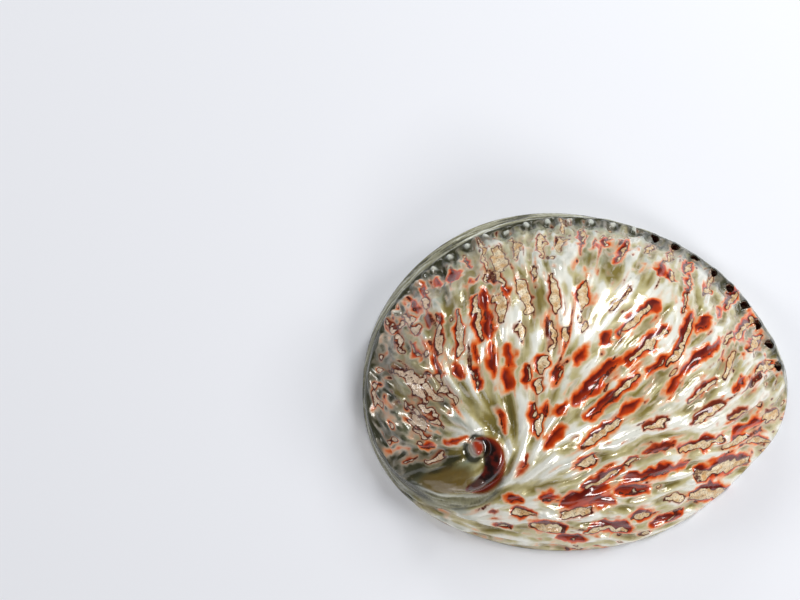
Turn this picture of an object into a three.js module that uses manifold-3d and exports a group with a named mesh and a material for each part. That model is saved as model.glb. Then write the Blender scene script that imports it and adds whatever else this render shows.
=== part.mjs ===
// Abalone shell: one grown piece, lying rim down, dome up.
// Millimetres, +Z up. +X points to the growing end, +Y to the side with the row of pores.
// The origin is on the resting plane, under the middle of the shell.
import * as THREE from "three";
import { mergeVertices } from "three/addons/utils/BufferGeometryUtils.js";
import Module from "manifold-3d";

// ---- driving dimensions ----
const HEIGHT = 42; // resting rim to the top of the dome
const WALL = 2.3;
const RIM_WIDTH = 1.5; // flat edge the shell rests on
const CROWN = new THREE.Vector2(-8, 5); // where the dome is highest, in plan
const APEX = new THREE.Vector2(-36, -34); // middle of the little coil, in plan

// Plan outline: distance from the middle of the shell every 15 degrees, counterclockwise from +X.
const OUTLINE_RADII = [
  74.8, 70.8, 66.9, 63.8, 61.7, 61.3, 62.0, 63.5, 65.6, 67.6, 70.0, 72.5,
  74.4, 75.8, 75.2, 71.6, 67.0, 63.8, 61.8, 61.4, 62.0, 63.4, 67.0, 73.2,
];

// Spiral of the pore row: distance from the apex every 45 degrees, going back in age from the youngest pore.
const ROW_START = THREE.MathUtils.degToRad(12);
const ROW_RADII = [111.9, 99.7, 67.6, 40.3, 23.1, 15.2, 11.8, 10.0, 7.6, 5.6, 4.5, 3.8, 3.1, 2.5, 1.9, 1.3];
const ROW_STEP = Math.PI / 4;
const SPIRAL_END = ROW_STEP * (ROW_RADII.length - 1);
const BASE_END = THREE.MathUtils.degToRad(205); // age at which the row meets the younger whorl

// Dome profile: height = HEIGHT * (1 - m^DOME_POWER)^(1/bulge); m is the fraction of the way from crown to rim.
const DOME_POWER = 2.3;
// The bulge is given every 30 degrees: low and flaring beside the pores, full and steep behind the coil.
const BULGES = [1.0, 1.12, 0.95, 0.82, 0.8, 0.95, 1.38, 1.6, 1.5, 1.28, 1.18, 1.08];

const KEEL_HEIGHT = 0.8; // ridge that carries the pores
const KEEL_WIDTH = 1.7;
const FURROW_DEPTH = 0.6; // channel just outside the ridge
const FURROW_OFFSET = 4;
const KEEL_RISE = 0.2; // radians of age over which the ridge rises at the growing end
const KEEL_SINK = 0.9; // radians of age over which it sinks before the younger whorl covers it
const WHORL_STEP = 0.11; // rise of each older whorl above the seam, as a fraction of the spiral's radius
const SEAM_DEPTH = 0.1;
const SEAM_WIDTH = 0.13;
const SEAM_START = [BASE_END - 0.3, BASE_END + 0.8]; // ages between which the seam deepens
const SEAM_CLOSE = [SPIRAL_END - 1, SPIRAL_END]; // ages between which it dies out at the apex
// The older whorl rises and then sinks back into the dome; logarithms of seam radius over radius.
const WHORL_RISE = [-0.05, 0.25];
const WHORL_SINK = [0.4, 1.6];

const FOLD_COUNT = 34; // broad folds in one turn of growth
const FOLD_HEIGHT = 0.35;
const FOLD_SLANT = 0.35; // how far the folds lean between rim and apex, in radians per logarithm of radius
const FOLD_FROM_APEX = [14, 40]; // distances from the apex between which the folds grow
const FOLD_TO_RIM = [2, 12]; // distances from the rim between which they grow

const OPEN_PORES = 9;
const SEALED_PORES = 14;
const FIRST_PORE_AGE = THREE.MathUtils.degToRad(6);
const PORE_LENGTH = 3.2;
const PORE_WIDTH = 2.4;
const PORE_PITCH = 8.6; // between the two youngest pores; shrinks with the spiral
const PORE_DEPTH = 9;
const BEAD_HEIGHT = 1.1;
const PORE_PITCH_SHRINK = 0.45; // power of the row's radius that the pitch follows
const PORE_SIZE_SHRINK = 0.3; // the same for the size of the pores
const ROW_LENGTHENING = 1.1; // length of a step along the row over the same step round a circle

const SHELF_WIDTH = 6.5; // flat inner lip along the pore side
const SHELF_RISE = 0.8;
const SHELF_SLOPE = 3; // steepness of the wall above the inner lip
const SHELF_START = THREE.MathUtils.degToRad(50);
const SHELF_FULL = THREE.MathUtils.degToRad(95);
const SHELF_END = THREE.MathUtils.degToRad(274);

const AROUND = 112; // mesh columns round the rim
const SPIRE_ROWS = 9;
const BODY_ROWS = 12;
const BASE_ROWS = 4;
const CEILING_ROWS = 8;
const LEAST_LIP = 1.5; // mesh band inside the rim where there is no inner lip
const LIP_WALL = 5;
const SPIRE_RADIUS = 14;
const MARGIN = 3; // width of the last mesh band where there is no pore row
const ROW_MARGIN = 1.6; // least width of that band beside the pore row
const ROW_LEAVES = [BASE_END - 0.7, BASE_END - 0.3]; // ages between which the mesh lets go of the row
const FINE_STEPS = 1440; // steps for measuring the rim
const TURNING_WEIGHT = 21; // millimetres of rim that one radian of turning counts for
const SMALL_TURN = 0.02; // step for taking directions along the row
const LEAST_RADIUS = 0.3; // keeps logarithms finite at the apex

const TURN = 2 * Math.PI;

// ---- curves ----

// Smooth curve through evenly spaced values.
function through(values, position, closed) {
  const count = values.length;
  const cell = Math.floor(position);
  const u = position - cell;
  const at = (i) => {
    const place = closed ? THREE.MathUtils.euclideanModulo(i, count) : THREE.MathUtils.clamp(i, 0, count - 1);
    return values[place];
  };
  const [a, b, c, d] = [at(cell - 1), at(cell), at(cell + 1), at(cell + 2)];
  return 0.5 * (2 * b + (c - a) * u + (2 * a - 5 * b + 4 * c - d) * u * u + (3 * b - a - 3 * c + d) * u ** 3);
}

// 0 below a range, 1 above it, smooth between.
const rise = (value, [low, high]) => THREE.MathUtils.smoothstep(value, low, high);

function outlineRadius(angle) {
  return through(OUTLINE_RADII, (angle / TURN) * OUTLINE_RADII.length, true);
}

// Distance from a point inside the outline to the outline, in one direction.
function reach(from, angle) {
  let near = 0;
  let far = 160;
  for (let i = 0; i < 30; i++) {
    const middle = (near + far) / 2;
    const x = from.x + middle * Math.cos(angle);
    const y = from.y + middle * Math.sin(angle);
    if (Math.hypot(x, y) < outlineRadius(Math.atan2(y, x))) near = middle;
    else far = middle;
  }
  return near;
}

const ROW_LOGS = ROW_RADII.map(Math.log);

function rowRadius(age) {
  return Math.exp(through(ROW_LOGS, age / ROW_STEP, false));
}

// Age of the pore spiral where it first crosses a direction from the apex.
function ageAt(angle) {
  return THREE.MathUtils.euclideanModulo(angle - ROW_START, TURN);
}

// ---- heights ----

function domeHeight(x, y, inset) {
  const angle = Math.atan2(y - CROWN.y, x - CROWN.x);
  const m = Math.hypot(x - CROWN.x, y - CROWN.y) / (reach(CROWN, angle) - inset);
  if (m >= 1) return 0;
  const bulge = through(BULGES, (angle / TURN) * BULGES.length, true);
  return (HEIGHT - inset) * (1 - m ** DOME_POWER) ** (1 / bulge);
}

const bump = (offset, width) => Math.exp(-((offset / width) ** 2));

// Ridge of the pore row and the furrow under it.
function keelRelief(radius, age, room) {
  const fade = rise(age, [0, KEEL_RISE]) * (1 - rise(age, [BASE_END - KEEL_SINK, BASE_END]));
  const outside = radius - rowRadius(age);
  const furrow = Math.min(FURROW_OFFSET, room / 2);
  return fade * (KEEL_HEIGHT * bump(outside, KEEL_WIDTH) - FURROW_DEPTH * bump(outside - furrow, furrow / 2));
}

// Seam between a younger whorl and the older one that stands inside it.
function seamRelief(radius, age) {
  let relief = 0;
  for (let seamAge = age; seamAge < SPIRAL_END; seamAge += TURN) {
    const seam = rowRadius(seamAge);
    const fade = rise(seamAge, SEAM_START) * (1 - rise(seamAge, SEAM_CLOSE));
    const inside = Math.log(seam / Math.max(radius, LEAST_RADIUS));
    const step = rise(inside, WHORL_RISE) * (1 - rise(inside, WHORL_SINK));
    relief += fade * seam * (WHORL_STEP * step - SEAM_DEPTH * bump(inside, SEAM_WIDTH));
  }
  return relief;
}

// Broad folds that curve from the seam to the rim.
function foldRelief(radius, age, edge) {
  const grown = Math.log(edge / Math.max(radius, 1));
  const fade = rise(radius, FOLD_FROM_APEX) * rise(edge - radius, FOLD_TO_RIM);
  return FOLD_HEIGHT * fade * Math.sin(FOLD_COUNT * (age + FOLD_SLANT * grown));
}

function outerPoint(angle, radius, edge) {
  const x = APEX.x + radius * Math.cos(angle);
  const y = APEX.y + radius * Math.sin(angle);
  if (edge - radius < 1e-6) return new THREE.Vector3(x, y, 0);
  const age = ageAt(angle);
  const relief =
    keelRelief(radius, age, edge - rowRadius(age)) + seamRelief(radius, age) + foldRelief(radius, age, edge);
  const settle = THREE.MathUtils.smoothstep(edge - radius, 0, 2);
  return new THREE.Vector3(x, y, domeHeight(x, y, 0) + settle * relief);
}

function shelfWidth(age) {
  return SHELF_WIDTH * rise(age, [SHELF_START, SHELF_FULL]) * (1 - rise(age, [BASE_END, SHELF_END]));
}

// Ceiling of the inner lip: nearly flat along the rim, then steeply up to the dome.
function shelfCeiling(fromRim, age) {
  const width = shelfWidth(age);
  const past = Math.max(0, fromRim - width);
  return SHELF_RISE * Math.min(1, fromRim / (width + 0.5)) + SHELF_SLOPE * past;
}

function innerPoint(angle, radius, edge) {
  const x = APEX.x + radius * Math.cos(angle);
  const y = APEX.y + radius * Math.sin(angle);
  const fromRim = edge - RIM_WIDTH - radius;
  if (fromRim < 1e-6) return new THREE.Vector3(x, y, 0);
  return new THREE.Vector3(x, y, Math.min(domeHeight(x, y, WALL), shelfCeiling(fromRim, ageAt(angle))));
}

// ---- mesh ----

// Directions from the apex, spread between even turning and even steps along the rim.
function columnAngles(count) {
  const turning = (TURNING_WEIGHT * TURN) / FINE_STEPS;
  const lengths = [0];
  let last = null;
  for (let i = 0; i <= FINE_STEPS; i++) {
    const angle = (i / FINE_STEPS) * TURN;
    const edge = reach(APEX, angle);
    const point = new THREE.Vector2(edge * Math.cos(angle), edge * Math.sin(angle));
    if (last) lengths.push(lengths[i - 1] + point.distanceTo(last) + turning);
    last = point;
  }
  const total = lengths[FINE_STEPS];
  const angles = [];
  let i = 0;
  for (let k = 0; k < count; k++) {
    const wanted = (k / count) * total;
    while (lengths[i + 1] < wanted) i++;
    const share = (wanted - lengths[i]) / (lengths[i + 1] - lengths[i]);
    angles.push(((i + share) / FINE_STEPS) * TURN);
  }
  return angles;
}

// Radii of the outer mesh rows in one direction: coil, body, then the base outside the pore row.
function outerRadii(angle, edge) {
  const age = ageAt(angle);
  const coil = Math.min(SPIRE_RADIUS, 0.6 * edge);
  const onRow = 1 - rise(age, ROW_LEAVES);
  const keel = THREE.MathUtils.lerp(edge - MARGIN, Math.min(rowRadius(age), edge - ROW_MARGIN), onRow);
  const radii = [];
  for (let i = 1; i <= SPIRE_ROWS; i++) radii.push((coil * i) / SPIRE_ROWS);
  for (let i = 1; i <= BODY_ROWS; i++) radii.push(coil + ((keel - coil) * i) / BODY_ROWS);
  for (let i = 1; i <= BASE_ROWS; i++) {
    radii.push(keel + (edge - keel) * Math.sin((i / BASE_ROWS) * (Math.PI / 2)));
  }
  return radii;
}

// Radii of the inner mesh rows in one direction: across the inner lip, up its wall, then over the ceiling.
function innerRadii(angle, edge) {
  const rim = edge - RIM_WIDTH;
  const lip = rim - Math.max(shelfWidth(ageAt(angle)), LEAST_LIP);
  const wall = lip - LIP_WALL * Math.min(1, lip / 30);
  const radii = [rim, (rim + lip) / 2, lip, (lip + wall) / 2];
  for (let i = 0; i < CEILING_ROWS; i++) radii.push(wall * (1 - i / CEILING_ROWS));
  return radii;
}

function shellGeometry() {
  const points = [];
  const faces = [];
  const addPoint = (point) => points.push(point) - 1;
  const addFace = (a, b, c) => faces.push(a, b, c);
  const angles = columnAngles(AROUND);
  const edges = angles.map((angle) => reach(APEX, angle));

  const top = addPoint(outerPoint(0, 0, edges[0]));
  const outer = angles.map((angle, k) =>
    outerRadii(angle, edges[k]).map((radius) => addPoint(outerPoint(angle, radius, edges[k]))),
  );
  for (let k = 0; k < AROUND; k++) {
    const here = outer[k];
    const next = outer[(k + 1) % AROUND];
    addFace(top, here[0], next[0]);
    for (let j = 1; j < here.length; j++) {
      addFace(here[j - 1], here[j], next[j]);
      addFace(here[j - 1], next[j], next[j - 1]);
    }
  }

  const ceiling = addPoint(innerPoint(0, 0, edges[0]));
  const inner = [];
  for (let k = 0; k < AROUND; k += 2) {
    const radii = innerRadii(angles[k], edges[k]);
    inner.push(radii.map((radius) => addPoint(innerPoint(angles[k], radius, edges[k]))));
  }
  for (let k = 0; k < inner.length; k++) {
    const here = inner[k];
    const next = inner[(k + 1) % inner.length];
    for (let j = 1; j < here.length; j++) {
      addFace(here[j - 1], here[j], next[j]);
      addFace(here[j - 1], next[j], next[j - 1]);
    }
    addFace(ceiling, next[here.length - 1], here[here.length - 1]);
    // the flat rim joins one inner step to two outer steps
    const rim = [0, 1, 2].map((step) => outer[(2 * k + step) % AROUND].at(-1));
    addFace(rim[0], here[0], rim[1]);
    addFace(rim[1], here[0], next[0]);
    addFace(rim[1], next[0], rim[2]);
  }

  const geometry = new THREE.BufferGeometry().setFromPoints(points);
  geometry.setIndex(faces);
  return geometry;
}

// ---- pores ----

// Size at an age over the size at the growing end.
const shrink = (age, power) => (rowRadius(age) / ROW_RADII[0]) ** power;

// Ages of the pores along the row, oldest last; they sit closer together on the smaller whorl.
function poreAges(count) {
  const ages = [FIRST_PORE_AGE];
  while (ages.length < count) {
    const age = ages[ages.length - 1];
    const pitch = PORE_PITCH * shrink(age, PORE_PITCH_SHRINK);
    ages.push(age + pitch / (rowRadius(age) * ROW_LENGTHENING));
  }
  return ages;
}

function poreFrame(age) {
  const angle = ROW_START + age;
  const at = (a, shift) => outerPoint(a, rowRadius(age) + shift, reach(APEX, a));
  const centre = at(angle, 0);
  const along = at(angle + SMALL_TURN, 0).sub(at(angle - SMALL_TURN, 0)).normalize();
  const across = at(angle, 1).sub(at(angle, -1)).normalize();
  const up = new THREE.Vector3().crossVectors(across, along).normalize();
  const side = new THREE.Vector3().crossVectors(along, up).normalize();
  return new THREE.Matrix4().makeBasis(along, up, side).setPosition(centre);
}

function poreCutter(age) {
  const scale = shrink(age, PORE_SIZE_SHRINK);
  const cutter = new THREE.CylinderGeometry(0.5, 0.5, PORE_DEPTH, 14);
  cutter.scale(PORE_LENGTH * scale, 1, PORE_WIDTH * scale);
  return cutter.applyMatrix4(poreFrame(age));
}

// Low domed plug over a pore the animal has sealed.
function poreBead(age) {
  const scale = shrink(age, PORE_SIZE_SHRINK);
  const bead = new THREE.SphereGeometry(0.5, 10, 6);
  bead.scale(PORE_LENGTH * scale, BEAD_HEIGHT, PORE_WIDTH * scale);
  return bead.applyMatrix4(poreFrame(age));
}

// ---- solid ----

const wasm = await Module();
wasm.setup();

function solid(geometry) {
  geometry.deleteAttribute("normal");
  geometry.deleteAttribute("uv");
  const merged = mergeVertices(geometry, 1e-4);
  return new wasm.Manifold(
    new wasm.Mesh({
      numProp: 3,
      vertProperties: merged.attributes.position.array,
      triVerts: new Uint32Array(merged.index.array),
    }),
  );
}

function shellSolid() {
  let shell = solid(shellGeometry());
  poreAges(OPEN_PORES + SEALED_PORES).forEach((age, i) => {
    shell = i < OPEN_PORES ? shell.subtract(solid(poreCutter(age))) : shell.add(solid(poreBead(age)));
  });
  return shell;
}

function geometryOf(manifold) {
  const mesh = manifold.getMesh();
  const geometry = new THREE.BufferGeometry();
  geometry.setAttribute("position", new THREE.BufferAttribute(new Float32Array(mesh.vertProperties), 3));
  geometry.setIndex(new THREE.BufferAttribute(new Uint32Array(mesh.triVerts), 1));
  geometry.computeVertexNormals();
  return geometry;
}

const nacre = new THREE.MeshStandardMaterial({ color: "#c9bda4", roughness: 0.25, metalness: 0 });
const shell = new THREE.Mesh(geometryOf(shellSolid()), nacre);
shell.name = "abalone_shell";

const abalone = new THREE.Group();
abalone.add(shell);
export default abalone;
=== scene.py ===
"""Polished abalone shell, lying rim down: fine relief, grown pattern, floor, light and camera."""

import math

import bmesh
import bpy
import numpy as np
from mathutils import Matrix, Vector


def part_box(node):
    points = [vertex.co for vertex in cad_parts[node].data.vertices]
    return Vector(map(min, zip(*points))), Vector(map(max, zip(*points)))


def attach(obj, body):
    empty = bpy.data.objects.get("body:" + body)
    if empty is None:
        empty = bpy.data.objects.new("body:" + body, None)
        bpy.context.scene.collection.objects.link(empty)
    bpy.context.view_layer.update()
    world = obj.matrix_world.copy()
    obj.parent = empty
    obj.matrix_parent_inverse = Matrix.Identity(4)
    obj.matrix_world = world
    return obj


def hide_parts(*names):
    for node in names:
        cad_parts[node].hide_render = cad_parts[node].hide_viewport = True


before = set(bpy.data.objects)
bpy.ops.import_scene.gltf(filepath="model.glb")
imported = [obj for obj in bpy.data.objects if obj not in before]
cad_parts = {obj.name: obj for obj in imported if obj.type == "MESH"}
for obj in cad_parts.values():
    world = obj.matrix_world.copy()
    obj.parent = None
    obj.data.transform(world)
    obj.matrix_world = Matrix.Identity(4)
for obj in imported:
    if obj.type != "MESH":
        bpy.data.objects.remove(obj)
CAD_NODE = "abalone_shell"
CAD_LOW, CAD_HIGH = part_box(CAD_NODE)
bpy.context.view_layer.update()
OUTLINE_LENGTH = 149.5
UNIT = (CAD_HIGH.x - CAD_LOW.x) / OUTLINE_LENGTH  # metres in one of the millimetres below

TURN = 2 * math.pi

# ---- proportions of the shell, in millimetres, the same as the solid's ----
HEIGHT = 42.0
WALL = 2.3
RIM_WIDTH = 1.5
CROWN = (-8.0, 5.0)
APEX = (-36.0, -34.0)
OUTLINE_RADII = np.array([
    74.8, 70.8, 66.9, 63.8, 61.7, 61.3, 62.0, 63.5, 65.6, 67.6, 70.0, 72.5,
    74.4, 75.8, 75.2, 71.6, 67.0, 63.8, 61.8, 61.4, 62.0, 63.4, 67.0, 73.2])
ROW_START = math.radians(12)
ROW_RADII = np.array([
    111.9, 99.7, 67.6, 40.3, 23.1, 15.2, 11.8, 10.0, 7.6, 5.6, 4.5, 3.8, 3.1, 2.5, 1.9, 1.3])
ROW_STEP = math.pi / 4
SPIRAL_END = ROW_STEP * (len(ROW_RADII) - 1)
BASE_END = math.radians(205)
DOME_POWER = 2.3
BULGES = np.array([1.0, 1.12, 0.95, 0.82, 0.8, 0.95, 1.38, 1.6, 1.5, 1.28, 1.18, 1.08])
SHELF_WIDTH = 6.5
SHELF_RISE = 0.8
SHELF_SLOPE = 3.0
SHELF_START = (math.radians(50), math.radians(95))
SHELF_END = (BASE_END, BASE_END + 1.2)
FOLD_COUNT = 34
FOLD_SLANT = 0.35

# ---- ridge, furrow, seams and pores; pairs are where something starts and where it is full, in age ----
KEEL_HEIGHT = 2.0
KEEL_WIDTH_IN = 3.0
KEEL_WIDTH_OUT = 1.3
KEEL_OFFSET = 2.3  # how far outside the pores the ridge's crest runs, where there is room
KEEL_SHARE = 0.42  # of the room, where there is little
KEEL_RISE = (0, 0.2)
KEEL_SINK = (BASE_END - 0.9, BASE_END)
FURROW_DEPTH = 0.5
FURROW_WIDTH = 4.0
FURROW_OFFSET = 2.0
SEAM_DEPTH = 0.1
SEAM_WIDTH = 0.1
SEAM_START = (BASE_END - 0.3, BASE_END + 0.8)
SEAM_CLOSE = (SPIRAL_END - 1, SPIRAL_END)
WHORL_STEP = 0.17
WHORL_RISE = (-0.05, 0.3)  # logarithms of seam radius over radius
WHORL_SINK = (0.4, 1.6)
PORE_COUNT = 23
OPEN_PORES = 9
FIRST_PORE_AGE = math.radians(6)
PORE_PITCH = 8.6
PORE_PITCH_SHRINK = 0.45
PORE_SIZE_SHRINK = 0.3
PORE_HALF_LENGTH = 1.7
PORE_HALF_WIDTH = 1.35
THROAT_SHARE = 0.86  # a pore narrows to this share of its mouth
THROAT_DEPTH = 0.9

# ---- the coil, in plan ----
COIL_MIDDLE = np.array((-36.0, -38.0))
HEART = (-37.3, -34.1)  # the coil's round tip
LENS = (-36.2, -44.1)  # a glassy round blister on the coil's wall
LENS_STRETCH = 1.2
# Dark wall of the coil: points down its middle, with half its width there.
COIL_WALL = [
    (-36.6, -32.2, 1.2), (-34, -32.9, 2.1), (-31.9, -35.2, 3.3), (-31.2, -38.6, 3.4), (-32, -41.8, 3.5),
    (-34.8, -44.1, 3), (-38, -45, 2),
]

# ---- mesh and raster sizes ----
OUTER_CELLS = 276  # squares along one side of the outer grid
INNER_CELLS = OUTER_CELLS // 2
SHEET_STEP = 0.35  # raster cell of the unrolled outer surface
SHEET_HALF = 106.0
DIRECTION_COUNT = 720
LENGTH_COUNT = 240
PROFILE_COUNT = 700
PROFILE_CROWDING = 2.5  # crowds the profile's samples towards the steep rim
# Boxes on the UV page: left edge, width, bottom edge, height.
OUTER_PAGE = (0.008, 0.765, 0.008, 0.984)
INNER_PAGE = (0.796, 0.19, 0.008, 0.984)

# ---- the bold marks, in plan ----
# x, y, slant in degrees, length, width, share of crust, redness
MARKS = [
    (-28,31.5,90,12,5.6,1,0.3), (-28.7,22,105,8,2.4,0.7,0.5), (-32.8,31,92,9,2.3,0.8,0.5),
    (-33,23.5,95,3.4,1.8,0.7,0.5), (-32.8,40,97,9,1.8,0.8,0.4), (-22,35,83,11,2.5,0.9,0.3),
    (-13.8,36,78,13,2.4,0.8,0.5), (-7.5,36.5,85,8,3.4,0.9,0.3), (-4,48,86,9,1.8,0.9,0.3),
    (-17.5,23,80,4,2.2,0.6,0.4), (-21.2,14.5,101,12.5,3.8,0.9,0.4), (-11.8,13.5,97,14,3.3,0.8,0.5),
    (-2.5,13.5,79,12,3.8,0.7,0.7), (-28.8,10,80,9.5,4.8,0.95,0.5), (-27,16.6,150,4.5,2,0,1),
    (-37.5,13,85,7.5,2.4,0.6,1), (-36.5,5,97,13,2.9,0.6,1), (-34,13.5,112,9,3.2,0,0.9),
    (-33,4.5,96,10,3.8,0.1,1), (-42.3,2,88,16.5,2.9,0.75,0.8), (-43,-10.3,97,5.5,2.6,0,1),
    (-48.8,1,90,10,3.1,0.8,0.5), (-49.5,-7.5,93,5.5,2.1,0.2,0.9), (-48.5,-12,80,3.4,2.1,0.6,0.6),
    (-48.7,9,102,4.4,2.4,0.4,0.7), (-53,18,92,6,2.5,0.7,0.5), (-56,6.5,125,5,3.2,0.95,0.5),
    (-58.7,12,112,8,2,0.7,0.5), (-56.5,18,106,8,1.7,0.3,0.6), (-53.5,24.5,95,8,1.9,0.2,0.7),
    (-43,28,85,6.5,4.4,0.05,0.8), (-48.5,26.5,95,5.5,2,0,0.8), (-38.5,33.5,110,6,2,0.5,0.7),
    (-37.5,23.5,90,2.2,1.8,0,0.8), (-52,9.5,110,4.5,2.6,0,0.5), (-63,10.5,115,7,1.7,0.7,0.4),
    (-61.5,5,105,4.4,2.2,0.9,0.4), (-56,-1,122,7,2.2,0.6,0.7), (-23,1,84,6.5,2.8,0.8,0.35),
    (-13.5,-0.5,96,9.5,2.2,0.6,0.4), (-9.3,-0.5,80,4.4,3.4,0.95,0.5), (-3,3,70,4.2,2.5,0.8,0.5),
    (1.2,41.5,75,10,2.4,0.4,0.8), (9.5,39,72,7,2.1,0.3,0.9), (14,34,58,13,2.5,0.4,1),
    (5.3,35,80,2.2,1.6,0,0.7), (25,38,58,9,2.3,0.8,0.3), (32,36,55,12,1.9,0.7,0.5),
    (26,26.5,65,6.5,3,0,0.8), (29.3,24.5,60,5,4.2,0.6,0.8), (38,32,56,8,2.7,0.5,1),
    (36.3,23,75,11,2.2,0.5,1), (46.5,28,60,8,1.7,0.8,0.5), (43.5,23,60,5,2.6,0.7,0.8),
    (52.8,21.5,57,13,2.7,0.5,0.9), (47,14.5,60,5,1.7,0,0.9), (32.6,15,76,12,1.9,0.6,0.8),
    (31.6,3.5,72,16,3.3,0.4,1), (38.5,7.5,33,9,3.2,0.1,1), (13.5,5.5,42,17,3.7,0.6,1),
    (21.5,11,20,5,3.2,0,1), (17.5,-2.5,42,19,3.8,0.45,1), (10,12.5,50,14,2,0.5,0.35),
    (4,-2,60,5,3.4,0.1,0.8), (56,11,50,17,2.7,0.5,0.9), (60,6.5,47,13,2.9,0.7,0.7),
    (48.5,4.5,48,8,2,0.7,0.5), (36.5,-4,31,20,3.4,0.05,1), (26.6,-13.5,72,9,2.8,0,0.9),
    (62.5,-2.5,15,10,2.7,0.8,0.8), (48,-4.5,68,12,2.4,0.8,0.4), (51,-10.5,40,8,2.3,0.1,0.9),
    (58,-7.5,58,9,2,0.3,0.5), (36.5,-15,38,14,2.8,0.6,0.6), (39,-21,34,16,3,0.5,0.45),
    (50.5,-19.5,25,9,2.4,0.4,0.5), (20,-26,20,10,3.6,0.5,0.5), (37,-30.5,17,17,3.3,0.7,0.7),
    (50.5,-28,22,9,2.7,0.8,0.9), (56,-22,32,16,1.8,0,0.9), (60.5,-25.5,160,5,3,0.8,0.9),
    (65.5,-17,20,8,3.6,0.8,0.4), (46.5,-35.5,19,21,4.4,0.75,1), (42,-43.3,13,14,4.1,0.75,0.9),
    (29,-46.5,8,6.5,2.7,0.8,0.4), (21.5,-39.7,14,21,3.2,0.05,1), (22,-33.5,18,13,2.4,0.1,0.6),
    (11.5,-38,25,5,2.6,0.5,0.6), (2.5,-43,32,13,3.2,0.45,1), (-3,-48,28,14,3.8,0,1),
    (-5,-52,3,9,2.3,0.8,0.5), (13.5,-45.5,8,12,3,0.15,1), (17.5,-52,15,7,3,0.5,1),
    (26.5,-52.3,24,12,2.3,0.05,1), (9,-55.8,170,11,3.5,0.4,1), (2,-56.5,25,5,2,0.7,0.8),
    (3.5,-49,160,8,3.6,0,0.9), (2,-30.3,31,15,3.2,0.7,1), (10.5,-23,28,9,3,0,1),
    (3,-21.5,33,16,3.2,0.05,1), (10,-16,42,10,2.7,0.6,0.9), (0.5,-15,45,20,3.9,0.1,1),
    (-4,-7,57,7,2.7,0,0.9), (20.5,-9,22,9,3,0.2,1), (27,-5.5,55,9,2.8,0.6,1),
    (-16.8,-9.8,45,4.8,4.4,0.7,0.8), (-12,-12.6,45,5.6,4,0.3,1), (-21.5,-13,100,5.2,3.6,0.35,0.9),
    (-17.8,-16.8,90,4.6,4,0.75,0.7), (-27.5,-14,88,7.6,3.2,0,1), (-26.6,-6.5,105,7.4,3.4,0,0.8),
    (-32,-7.5,92,11,2.8,0.15,1), (-37.2,-5.5,92,6,2.4,0.2,0.9), (-38.4,-11.5,120,4.2,2.3,0.5,0.9),
    (-36.4,-14.2,130,4.2,1.8,0.4,0.9), (-20,-24,95,4.8,3.4,0.3,0.9), (-15.8,-24,80,4.8,2.5,0.3,0.9),
    (-11,-23.3,20,3.8,3.2,0,1), (-18.2,-28.3,80,5.6,3.4,0.7,0.9), (-13,-31.5,24,9,2.5,0,0.9),
    (-3.5,-38.5,10,6,3.3,0.6,0.9), (-22,-38.5,50,4.4,1.7,0.1,0.6), (-22.8,-41.2,35,4.4,1.3,0,0.6),
    (-25.5,-48.6,170,5.4,2.5,0.1,0.9), (-14,-48.4,175,5.6,2.6,0.15,0.8), (-21.5,-52.3,177,7,2.2,0.6,0.7),
    (-13.3,-56,171,11,2.9,0.6,0.9), (-27.5,-55.5,168,5,1.7,0.3,0.6), (-31.5,-51.5,170,3,1.3,0,0.5),
    (-5,-59,172,9,2,0,0.8), (-29.4,-26.5,125,6.5,1.7,0.2,0.7), (-61,-7.5,135,7,2.1,0.8,0.3),
    (-56,-10.5,148,10,2.6,0.9,0.3), (-55.5,-15.5,120,8,2.5,0.95,0.4), (-51,-16,135,8,2.6,0.95,0.4),
    (-46,-17.5,130,6.5,2.4,0.9,0.4), (-57.5,-20,140,6,2.1,0.9,0.3), (-52.5,-21.2,145,8,2.1,0.9,0.4),
    (-56,-24,140,7,1.9,0.9,0.4), (-54.5,-27.8,128,6,1.9,0.8,0.5), (-50,-25.6,150,6,1.6,0.8,0.4),
    (-53,-31.7,165,5.5,2.1,0.2,1), (-43.5,-31.2,22,7,1.8,0,0.7), (-50,-36,15,7,2.8,0.75,0.3),
    (-58,-34.5,28,5,1.8,0.6,0.5),
]

# Grain of the folds where no mark shows it: x, y, slant.
GRAIN = [
    (-25.5,-28,105), (-25,-34,88), (-23.5,-38,60), (-24,-44,38), (-32,-49.5,12), (-42,-52,155),
    (-52,-49,142), (-62,-41,128), (-69,-28,112), (-73,-12,98), (-20,-33,70), (-15,-41,28), (-8,-45,20),
    (-35,-22,125), (-30,-18,112), (-42,-24,135), (-22,-20,92), (-66,2,115), (-2,30,80), (8,26,68),
    (20,22,62), (66,14,60), (70,-8,60), (0,-61,178), (30,-30,18), (-45,40,85), (-60,25,100), (5,52,80),
    (-25,52,88), (45,40,55),
]

# How strokes steer the grain: strongly over a small area, weakly over a large one, in square millimetres.
STEER_LENGTH = 4.3  # only marks longer than this steer it
GRAIN_STROKE = 8
NEAR_AREA = 50
FAR_AREA = 450
FAR_WEIGHT = 0.03
GROWTH_WEIGHT = 0.004  # of the plain growth lines, where no stroke is near

# How a mark grows along the grain.
PATH_POINTS = 5  # steps from the middle of a mark to its end
MOST_BEND = 0.25  # radians in one step
BEND_SHARE = 0.8
MARK_WIDENING = 1.16
MARK_ROUNDING = 0.25  # a path stops this share of the half width before the mark's end
MARK_TAPER = 0.45
MARK_SWELL = 0.13
LEAST_CRUST = 0.02
CRUST_WIDTH = 0.82  # share of a full mark's width that its crust covers
CRUST_OFFSET = 0.55  # of the half width, towards the shaded side

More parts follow.
